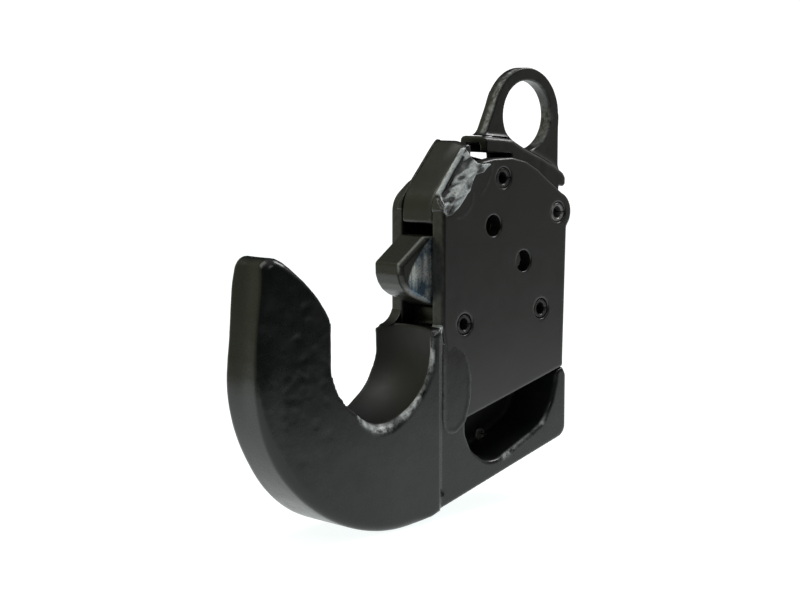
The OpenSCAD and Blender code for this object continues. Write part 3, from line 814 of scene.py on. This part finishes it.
def seam_field(x, y, z):
    lens = SEAM_OUTLINE(x, z) + 0.3 * noise(x, 0 * y, z, 4, 60)
    proud = (0.13 - 0.09 * ramp(-lens, 0.7, 2.6)) * (1 - ramp(z, -5, 0)) + 0.02 * noise(x, y, z, 3.4, 61)
    return both(both(lens, np.abs(y) - HALF_HOUSE - proud, 0.3), HALF_HOUSE - 2.5 - np.abs(y))


# A faint painted highlight along the ground seam's rim.
def seam_rim_highlight(x, y, z):
    return np.exp(-((SEAM_OUTLINE(x, z) + 0.6) / 0.7) ** 2) * 0.08


for name in ("right_seam_weld", "left_seam_weld"):
    sculpt(name.replace("_weld", "_ground"), seam_field, [name], "hook", "weld_paint", FORGING, 0.4,
           thin=0.5, masks={"edge": seam_rim_highlight})


def foot_field(side, leg, smooth):
    """A hollow fillet at a plate's foot; the near one also has a bright bead at its end."""
    def field(x, y, z):
        rough = (0.02 if smooth else 0.15) * noise(x, y, z, 2, 70)
        hollow = leg + 0.4 - np.hypot(x - (PLATE_FRONT - leg), z - (HOOK_TOP + leg)) + rough
        d = np.maximum(hollow, np.maximum(x - PLATE_FRONT - 0.4, HOOK_TOP - 0.5 - z))
        d = np.maximum(d, np.maximum(PLATE_FRONT - leg - x, z - HOOK_TOP - leg))
        d = both(d, np.maximum(side * y - HALF_HOUSE + 0.3, INNER + 0.3 - side * y), 0.3)
        if smooth:
            return d
        bead = np.sqrt((x - 29.3) ** 2 + (y - side * (HALF_HOUSE - 0.9)) ** 2 + (z - 6.0) ** 2 * 0.8) - 1.35
        return either(d, bead, 0.8)

    return field


# On the near foot weld the edge mask paints a patchy highlight over the bead.
for side, name, leg in ((-1, "right_foot_weld", 2.6), (1, "left_foot_weld", 7.5)):
    sculpt(name.replace("_weld", "_bead"), foot_field(side, leg, side > 0), [name], "hook", "weld_paint",
           WELD if side < 0 else PLATE, 0.36,
           masks={"edge": lambda x, y, z: (0.4 + 0.4 * noise(x, y, z, 2.5, 71)) * (y < 0)}, margin=6.5)

# -------------------- turned parts

PIN_STEEL = steel("roll_pin_steel", (0.018, 0.018, 0.017), (0.04, 0.04, 0.038), (0.3, 0.45), metal=0.5)
SPRING_STEEL = steel("spring_steel", (0.30, 0.30, 0.29), (0.42, 0.42, 0.41), (0.25, 0.4), depth=0.006)
INNER_STEEL = steel("inner_steel", (0.07, 0.07, 0.068), (0.13, 0.13, 0.127), (0.35, 0.55), depth=0.015)
BORE_PLAY = 0.07
PIN_HOLE_R, POCKET_HOLE_R, SOLID = 2.3, 1.5, 0.02    # a solid rod keeps a bore too thin to see


def turned(profile, at, axis, steps=64, slot=0.0):
    """Revolves a closed (radius, height) outline about the Y or X axis through at. A slot opens it at +X."""
    start = math.asin(slot / 2 / max(p[0] for p in profile)) if slot else 0.0
    n = steps + 1 if slot else steps
    v = []
    for a in np.linspace(start, 2 * math.pi - start, n, endpoint=bool(slot)):
        for r, h in profile:
            p, q = at[0] + r * math.cos(a), at[1] + r * math.sin(a)
            v.append((p, h, q) if axis == "y" else (h, p, q))
    m = len(profile)
    faces = []
    for i in range(n - 1 if slot else n):
        j = (i + 1) % n
        for k in range(m):
            q = (k + 1) % m
            faces.append((i * m + k, i * m + q, j * m + q, j * m + k))
    if slot:
        faces.append(tuple(reversed(range(m))))
        faces.append(tuple((n - 1) * m + k for k in range(m)))
    faces = [f if axis == "y" else f[::-1] for f in faces]
    return np.array(v), faces


def tube_profile(r_in, r_out, low, high, c_in, c_out):
    """A tube's wall with small rounded chamfers at its four corners."""
    out = []
    for r, h, cr, ch in (
        (r_in, low, c_in, c_in), (r_out, low, -c_out, c_out),
        (r_out, high, -c_out, -c_out), (r_in, high, c_in, -c_in),
    ):
        a, b = (r, h + ch), (r + cr, h)
        if (r, h) in ((r_out, low), (r_in, high)):
            a, b = b, a
        mid = ((a[0] + b[0]) / 2 * 0.82 + r * 0.18, (a[1] + b[1]) / 2 * 0.82 + h * 0.18)
        out += [a, mid, b]
    return out


def turned_piece(
    name, node, body, slot_name, material, r_in, axis="y", c_in=0.3, c_out=0.4, steps=64, slot=0.0,
):
    """A turned piece that fills its node's box. The chamfers c_in and c_out are inside and outside."""
    low, high = box_mm(node)
    along, across = (1, 0) if axis == "y" else (0, 1)
    at = ((low[across] + high[across]) / 2, (low[2] + high[2]) / 2)
    profile = tube_profile(r_in, (high[2] - low[2]) / 2, low[along], high[along], c_in, c_out)
    v, faces = turned(profile, at, axis, steps, slot)
    o = piece(name, v, faces, body, [node], slot_name, material)
    o.data.set_sharp_from_angle(angle=math.radians(32))
    return o


# Paler steel: the pivot pin's own look, and on the pocket pin also painted light that makes up for the shade
# inside the pocket.
PALE_PIN = steel("pale_pin_steel", (0.10, 0.10, 0.097), (0.22, 0.22, 0.215), (0.3, 0.45), metal=0.6)
for name, metal, chamfer in (
    ("upper_roll_pin", PIN_STEEL, 0.45), ("rear_roll_pin", PIN_STEEL, 0.7),
    ("front_roll_pin", PIN_STEEL, 0.7), ("lever_pivot_pin", PALE_PIN, 0.6),
):
    turned_piece(name.replace("_pin", "_sleeve"), name, "hook", "spring_steel", metal, PIN_HOLE_R,
                 c_in=0.5, c_out=chamfer, slot=0.5)
turned_piece("pocket_roll_sleeve", "pocket_roll_pin", "hook", "spring_steel", PALE_PIN, POCKET_HOLE_R,
             c_in=0.25, c_out=0.5, slot=0.8)
turned_piece("spacer_tube", "upper_spacer_sleeve", "hook", "inner_steel", INNER_STEEL, PIN_R + 0.03)
turned_piece("pivot_bush", "lever_bush", "lever", "inner_steel", INNER_STEEL, PIN_R + BORE_PLAY)
for name in ("right_lever_washer", "left_lever_washer"):
    turned_piece(name.replace("_lever", "_pivot"), name, "hook", "inner_steel", INNER_STEEL,
                 PIN_R + BORE_PLAY, c_in=0.15, c_out=0.2)
turned_piece("drive_dowel", "drive_pin", "lever", "inner_steel", INNER_STEEL, SOLID, c_in=0.01, c_out=0.5)
turned_piece("guide_rod", "spring_guide_rod", "hook", "inner_steel", INNER_STEEL, SOLID, axis="x",
             c_in=0.01, c_out=0.5, steps=40)

BLOCK_LOW, BLOCK_HIGH = box_mm("spring_stop_block")


def block_field(x, y, z):
    middle = (BLOCK_LOW + BLOCK_HIGH) / 2
    half = (BLOCK_HIGH - BLOCK_LOW) / 2
    d = both(both(np.abs(x - middle[0]) - half[0], np.abs(z - middle[2]) - half[2], 1.0),
             np.abs(y - middle[1]) - half[1], 0.7)
    d = without(d, rod_y(x, z, REAR_PIN, PIN_R + 0.03))
    return d + 0.04 * noise(x, y, z, 5, 80) + 0.04


sculpt("spring_block", block_field, ["spring_stop_block"], "hook", "inner_steel", INNER_STEEL, 0.6, thin=0.4)

SPRING_LOW, SPRING_HIGH = box_mm("return_spring")
SPRING_Z = (SPRING_LOW[2] + SPRING_HIGH[2]) / 2


def spring_mesh():
    wire, turns, sides, steps = 0.65, 10.5, 10, 24
    closed, crowd = 0.45, 0.18    # turns at each end that lie close, and their share of the pitch
    r = (SPRING_HIGH[2] - SPRING_LOW[2]) / 2 - wire
    n = int(turns * steps)
    length = SPRING_HIGH[0] - SPRING_LOW[0] - 2 * wire
    pitch = length / (turns - 2 * closed)
    v = []
    for i in range(n + 1):
        t = i / steps
        a = 2 * math.pi * t
        end = min(t, closed) + max(t - turns + closed, 0)
        x = SPRING_LOW[0] + wire + np.clip(pitch * (t - closed) + crowd * pitch * end, 0, length)
        for k in range(sides):
            b = 2 * math.pi * k / sides
            rr = r + wire * math.cos(b)
            v.append((x + wire * math.sin(b), rr * math.cos(a), SPRING_Z + rr * math.sin(a)))
    v = np.array(v)
    v[:, 0] = np.clip(v[:, 0], SPRING_LOW[0], SPRING_HIGH[0])
    faces = [
        (i * sides + k, i * sides + (k + 1) % sides, (i + 1) * sides + (k + 1) % sides, (i + 1) * sides + k)
        for i in range(n) for k in range(sides)
    ]
    faces += [tuple(reversed(range(sides))), tuple(n * sides + k for k in range(sides))]
    return v, faces


LATCH_TRAVEL = 14.0
SPRING_KEEP = (SPRING_HIGH[0] - SPRING_LOW[0] - LATCH_TRAVEL) / (SPRING_HIGH[0] - SPRING_LOW[0])
piece("coil_spring", *spring_mesh(), "hook", ["return_spring"], "spring_steel", SPRING_STEEL,
      squash={"joint": "lever_pivot", "axis": (1, 0, 0), "anchor": (SPRING_HIGH[0] * MM, 0, SPRING_Z * MM),
              "keep": SPRING_KEEP})

# -------------------- latch

LATCH_OUTLINE = Outline(rounded([
    (15.5, 31.5, 1.6), (28.5, 41, 1.0), (52.5, 41, 0.6), (52.5, 39.4), (67, 39.4, 0.4), (67, 34.4, 0.4),
    (70.5, 34.4), (70.5, 26, 0.4), (65, 26), (65, 14.5, 0.8), (33.8, 14.5, 3), (26.0, 17.3, 8),
    (22.0, 19.0, 5), (19.0, 21.0, 5), (16.8, 23.8, 4), (15.6, 27, 4),
]))
TAIL_OUTLINE = Outline(rounded([
    (60, 34.4), (75, 34.4, 0.8), (75, 53.6, 1.2), (87.8, 53.6, 1), (87.8, 66.8, 1.2), (84.6, 68.8, 1.5),
    (73.3, 69.6, 1.5), (69.3, 68.4, 1.5), (69.3, 47, 4), (62.9, 39.4, 0.5), (60, 39.4),
]))
LATCH_HALF = box_mm("latch")[1][1]
FORK, FORK_HALF = (DRIVE[0] - 0.4, DRIVE[1] - 0.4), 3.05
SPRING_BORE_R, TAIL_HALF = 4.5, 3.3


def latch_field(x, y, z):
    side = np.abs(y)
    outline = LATCH_OUTLINE(x, z) + 0.02
    bevel = np.where(y < 0, 1.5, 0.3) * ramp(-x, -34, -27)
    nose = both(outline, side - LATCH_HALF + 0.02, 0.3)
    nose = both(nose, (outline + side - LATCH_HALF + bevel) * 0.7071, 0.4)    # a 45 degree bevel
    tail = both(TAIL_OUTLINE(x, z), side - TAIL_HALF, 0.6)
    fork = np.minimum(rod_y(x, z, FORK, FORK_HALF), both(np.abs(x - FORK[0]) - FORK_HALF, FORK[1] - z))
    tail = without(tail, fork, 0.4)
    d = either(nose, tail, 0.8)
    bore = both(np.hypot(y, z - SPRING_Z) - SPRING_BORE_R, 40 - x, 0.3)
    return without(d, bore, 0.3)


PLATED_OUTLINE = Outline([
    (31, 39.8), (28, 37.4), (25.4, 34.4), (22.2, 30.5), (20.3, 27.0), (19.8, 24.5),
    (21.2, 21.4), (25.4, 18.3), (31, 15.9), (80, 14), (80, 45), (31, 45),
])


def latch_side(x, y, z):
    """The plated flank, inside the bevels that run round the nose."""
    return ramp(np.abs(y), LATCH_HALF - 0.5, LATCH_HALF - 0.2) * (1 - ramp(PLATED_OUTLINE(x, z), -0.3, 0.3))


def latch_material():
    n = Nodes("latch_zinc_and_black")
    lines = n.noise(700, 4.0, 0.65, stretch=(1.0, 1.0, 0.07))
    cloud = n.noise(120, 4.0, 0.6)
    fine = n.noise(1600, 3.0, 0.6)
    zinc = n.mix(n.spread(cloud, 0.40, 0.60), (0.12, 0.19, 0.26), (0.85, 0.88, 0.86))
    zinc = n.mix(n.spread(lines, 0.45, 0.62, 0.0, 0.6), zinc, (0.05, 0.075, 0.11))
    black = n.mix(n.spread(cloud, 0.35, 0.65), (0.013, 0.0136, 0.0098), (0.017, 0.0176, 0.0135))
    # The edge mask paints a pale highlight on the black bevels.
    black = n.mix(n.math("MULTIPLY", n.mask("edge"), n.spread(fine, 0.2, 0.45)), black, (0.3, 0.31, 0.3))
    side = n.mask("plated")
    n.put(Base_Color=n.mix(side, black, zinc), Metallic=n.math("MULTIPLY", side, 0.7))
    n.put(Specular_IOR_Level=0.45, Roughness=n.spread(fine, 0.3, 0.7, 0.24, 0.38))
    n.bump([(lines, 0.02), (fine, 0.006)])
    return n.mat


# A painted highlight on the near side of the nose: a thin line along the top bevel and a band along the lower
# edge.
def latch_rim_highlight(x, y, z):
    outline = LATCH_OUTLINE(x, z)
    near = ramp(-y, LATCH_HALF - 2.2, LATCH_HALF - 1.4)
    line = np.exp(-((outline + 0.2) / 0.35) ** 2) * ramp(z, 27, 30)
    low = np.exp(-((outline + 1.0) / 0.8) ** 2) * (1 - ramp(z, 20, 25))
    return np.clip(line * 0.8 + low, 0, 1) * near * ramp(-x, -33, -28)


sculpt("latch_slider", latch_field, ["latch"], "latch", "latch_zinc", latch_material(), 0.34,
       masks={"plated": latch_side, "edge": latch_rim_highlight})

# -------------------- release lever

BAR_TOP = [(76.5, 76.6, 8), (83.5, 73.2, 8), (92.5, 69.7, 6), (101.5, 65.8, 5)]
BAR_OUTLINE = Outline(rounded([
    (61, 71.6, 0.8), (61, 77.4, 0.6), (61.8, 77.8, 0.8), *BAR_TOP, (107, 62.6, 1.6), (108.4, 60.6, 1.6),
    (108.1, 58.4, 1.2), (106.2, 56.9, 1.2), (104, 57.3, 1), (95.5, 61.7), (87.5, 66.7), (82.5, 69.8),
    (75.5, 70.7),
]))
TOP_OUTLINE = Outline(rounded([
    (58, 30), (58, 78.1), (61.8, 77.8), *BAR_TOP, (107, 62.6, 3), (108.5, 60.6, 2), (108.5, 30),
]))
INSIDE_OUTLINE = Outline(rounded([
    (55, 60), (55, 75.2), (61, 75.0), (75.8, 74, 6), (82.6, 70.6, 6), (91.4, 67.1, 5), (100.4, 63.3, 2),
    (103.5, 60.8, 1.5), (105, 50), (105, 30), (55, 30),
]))
PIVOT_BOSS_R, DRIVE_BOSS_R, DRIVE_HOLE_R = 8.0, 5.7, 2.5
CHANNEL_HALF, TOP_ROUND = 3.6, 2.3
SPAN = math.dist(DRIVE, PIVOT)
ALONG = ((DRIVE[0] - PIVOT[0]) / SPAN, (DRIVE[1] - PIVOT[1]) / SPAN)
WEB_OUTLINE = Outline([
    (DRIVE[0] - 5.5, DRIVE[1] + 2), (75, 72.5), (82.5, 72), (88, 69), (95.5, 65.5), (104, 60),
    (PIVOT[0] + 7.5, PIVOT[1]), PIVOT,
])
LEVER_HALF = box_mm("lever_channel")[1][1]


def boss_link(x, z):
    """The two round bosses and the straight flanks between them."""
    u, w = x - PIVOT[0], z - PIVOT[1]
    t = np.clip((u * ALONG[0] + w * ALONG[1]) / SPAN, 0, 1)
    r = PIVOT_BOSS_R + (DRIVE_BOSS_R - PIVOT_BOSS_R) * t
    return np.hypot(u - t * SPAN * ALONG[0], w - t * SPAN * ALONG[1]) - r


def lever_field(x, y, z):
    side = np.abs(y)
    outline = either(either(BAR_OUTLINE(x, z), WEB_OUTLINE(x, z), 0.5), boss_link(x, z), 0.5)
    d = both(outline + 0.02, side - LEVER_HALF + 0.05, 0.55)
    d = np.maximum(d, both(TOP_OUTLINE(x, z) + 0.02, side - LEVER_HALF + 0.05, TOP_ROUND))
    d = without(d, both(INSIDE_OUTLINE(x, z), side - CHANNEL_HALF, 1.0), 0.35)
    d = without(d, rod_y(x, z, PIVOT, PIN_R + 0.06))
    d = without(d, rod_y(x, z, DRIVE, DRIVE_HOLE_R))
    return d + 0.05 * noise(x, y, z, 8, 90) + 0.04 * noise(x, y, z, 3, 91) + 0.03


def lever_edges(x, y, z):
    return 0.35 * np.exp(-(TOP_OUTLINE(x, z) / 1.2) ** 2) * ramp(np.abs(y), 4.6, 6.4)


sculpt("lever_channel_shell", lever_field, ["lever_channel"], "lever", "lever_paint", LEVER, 0.42, thin=0.6,
       masks={"edge": lever_edges})

EYE_AT = mount_xz("rope_eye")
EYE_HIGH = box_mm("lever_eye_plate")[1]
EYE_R, EYE_HOLE_R, EYE_HALF = EYE_HIGH[0] - EYE_AT[0], 13.6, EYE_HIGH[1]
EYE_OUTLINE = Outline([
    (63.6, 74), (EYE_AT[0], 58), (106, 58), (EYE_AT[0] + EYE_R, 62.5), (EYE_AT[0] + EYE_R, EYE_AT[1]), EYE_AT,
    (EYE_AT[0] - 0.87 * EYE_R, EYE_AT[1] + 0.49 * EYE_R), (63.6, 76),
])


def eye_field(x, y, z):
    side = np.abs(y)
    outline = either(rod_y(x, z, EYE_AT, EYE_R), EYE_OUTLINE(x, z), 1.0) + 0.02
    blank = both(outline, side - EYE_HALF + 0.03, 0.7)
    blank = without(blank, rod_y(x, z, EYE_AT, EYE_HOLE_R), 0.8)
    bar = both(TOP_OUTLINE(x, z) + 0.08, side - LEVER_HALF + 0.1, TOP_ROUND)
    root = either(blank, bar, 3.4)
    root = np.maximum(root, side - EYE_HALF - 2.6)
    d = np.maximum(np.minimum(root, blank), -(TOP_OUTLINE(x, z) + 0.4))
    d = np.maximum(d, -rod_y(x, z, EYE_AT, EYE_HOLE_R))
    return d + 0.05 * noise(x, y, z, 9, 95) + 0.035 * noise(x, y, z, 3, 96) + 0.03


# A painted highlight on the eye's left rim and, broken up, on the right side of its hole's wall.
def eye_edge_highlight(x, y, z):
    outline = either(rod_y(x, z, EYE_AT, EYE_R), EYE_OUTLINE(x, z))
    rim = np.exp(-((outline + 0.1) / 0.5) ** 2) * (1 - ramp(x, EYE_AT[0] - 8, EYE_AT[0] + 2))
    strip = rim * np.exp(-((y + 1.2) / 0.9) ** 2)
    hole = np.exp(-((rod_y(x, z, EYE_AT, EYE_HOLE_R) - 0.1) / 0.6) ** 2) * ramp(x, EYE_AT[0], EYE_AT[0] + 8)
    broken = ramp(noise(x, y, z, 6.0, 97), -0.5, 0.3)
    return np.clip(strip * 1.6 + hole * broken * 0.45, 0, 1)


sculpt("rope_eye_plate", eye_field, ["lever_eye_plate"], "lever", "lever_paint", EYE_PAINT, 0.42, thin=0.6,
       masks={"edge": eye_edge_highlight})

# -------------------- floor, light and camera

FLOOR_X, FLOOR_Y = (-0.26, 1.3), (-0.23, 1.3)
FLOOR_GREY, FLOOR_GLOW, GLOW_STRENGTH = (0.3, 0.3, 0.3), (0.95, 1.0, 0.99), 0.96


def stage_floor():
    """A pale table top; what lies past its edges is seen only in reflections."""
    me = bpy.data.meshes.new("floor")
    corners = [(FLOOR_X[i], FLOOR_Y[j], 0) for i, j in ((0, 0), (1, 0), (1, 1), (0, 1))]
    me.from_pydata(corners, [], [(0, 1, 2, 3)])
    o = bpy.data.objects.new("floor", me)
    o.location.z = (BOTTOM - 0.2) * MM
    bpy.context.scene.collection.objects.link(o)
    n = Nodes("floor_pale")
    n.put(Base_Color=FLOOR_GREY, Roughness=0.9, Specular_IOR_Level=0.0)
    n.put(Emission_Color=FLOOR_GLOW, Emission_Strength=GLOW_STRENGTH)
    me.materials.append(n.mat)


def area_light(name, place, aim, size, power, colour=(1, 1, 1)):
    data = bpy.data.lights.new(name, "AREA")
    data.shape = "RECTANGLE"
    data.size, data.size_y = size
    data.energy = power
    data.color = colour
    o = bpy.data.objects.new(name, data)
    o.location = place
    o.rotation_mode = "QUATERNION"
    o.rotation_quaternion = (Vector(aim) - Vector(place)).to_track_quat("-Z", "Y")
    bpy.context.scene.collection.objects.link(o)


WALL_DARK = (0.02, 0.021, 0.02)
WALL_OLIVE = (0.39, 0.405, 0.27)
WALL_PALE = (0.42, 0.43, 0.40)
CEILING = (0.42, 0.43, 0.42)
BACKDROP_STRENGTH = 1.2


def studio_world():
    """White behind the object; in reflections a dark room with two paler walls and a pale ceiling."""
    world = bpy.data.worlds.new("studio")
    bpy.context.scene.world = world
    n = Tree(world)
    place = n.add("ShaderNodeTexCoord").outputs["Generated"]
    colour = WALL_DARK
    for direction, low, high, tint in (
        ((-0.64, 0.77, -0.1), 0.2, 0.85, WALL_OLIVE), ((0.98, -0.2, -0.1), 0.55, 0.95, WALL_PALE),
        ((0, 0, 1), 0.6, 0.95, CEILING),
    ):
        dot = n.add("ShaderNodeVectorMath", operation="DOT_PRODUCT")
        n.feed(dot.inputs[0], place)
        dot.inputs[1].default_value = Vector(direction).normalized()
        span = n.add("ShaderNodeMapRange", interpolation_type="SMOOTHSTEP")
        n.feed(span.inputs["From Min"], low)
        n.feed(span.inputs["From Max"], high)
        n.feed(span.inputs["Value"], dot.outputs["Value"])
        colour = n.mix(span.outputs["Result"], colour, tint)
    room = n.tree.nodes["Background"]
    n.feed(room.inputs["Color"], colour)
    white = n.add("ShaderNodeBackground")
    n.feed(white.inputs["Color"], (1, 1, 1))
    n.feed(white.inputs["Strength"], BACKDROP_STRENGTH)
    pick = n.add("ShaderNodeMixShader")
    n.feed(pick.inputs[0], n.add("ShaderNodeLightPath").outputs["Is Camera Ray"])
    n.feed(pick.inputs[1], room.outputs["Background"])
    n.feed(pick.inputs[2], white.outputs["Background"])
    n.feed(n.tree.nodes["World Output"].inputs["Surface"], pick.outputs["Shader"])


stage_floor()
studio_world()
TARGET = Vector((0.0085, -0.01415, 0.0195))
area_light("soft_right", (0.82, -0.2, 0.9), TARGET, (0.45, 0.45), 7)
area_light("soft_left", (-0.55, 0.25, 0.95), TARGET, (0.7, 0.7), 4, (1.0, 0.99, 0.93))
area_light("front_low", (-0.25, -0.9, 0.75), TARGET, (0.5, 0.25), 1.2)

AZIMUTH, ELEVATION, DISTANCE = math.radians(-43.73), math.radians(6.636), 0.6545
BACK = Vector((
    math.sin(AZIMUTH) * math.cos(ELEVATION), -math.cos(AZIMUTH) * math.cos(ELEVATION), math.sin(ELEVATION),
))
camera_data = bpy.data.cameras.new("camera")
camera_data.lens, camera_data.sensor_width = 81.0, 36.0
camera_data.clip_start, camera_data.clip_end = 0.01, 50
camera = bpy.data.objects.new("camera", camera_data)
camera.location = TARGET + BACK * DISTANCE
camera.rotation_mode = "QUATERNION"
camera.rotation_quaternion = (-BACK).to_track_quat("-Z", "Y")
bpy.context.scene.collection.objects.link(camera)
bpy.context.scene.camera = camera
bpy.context.scene.view_settings.view_transform = "Standard"
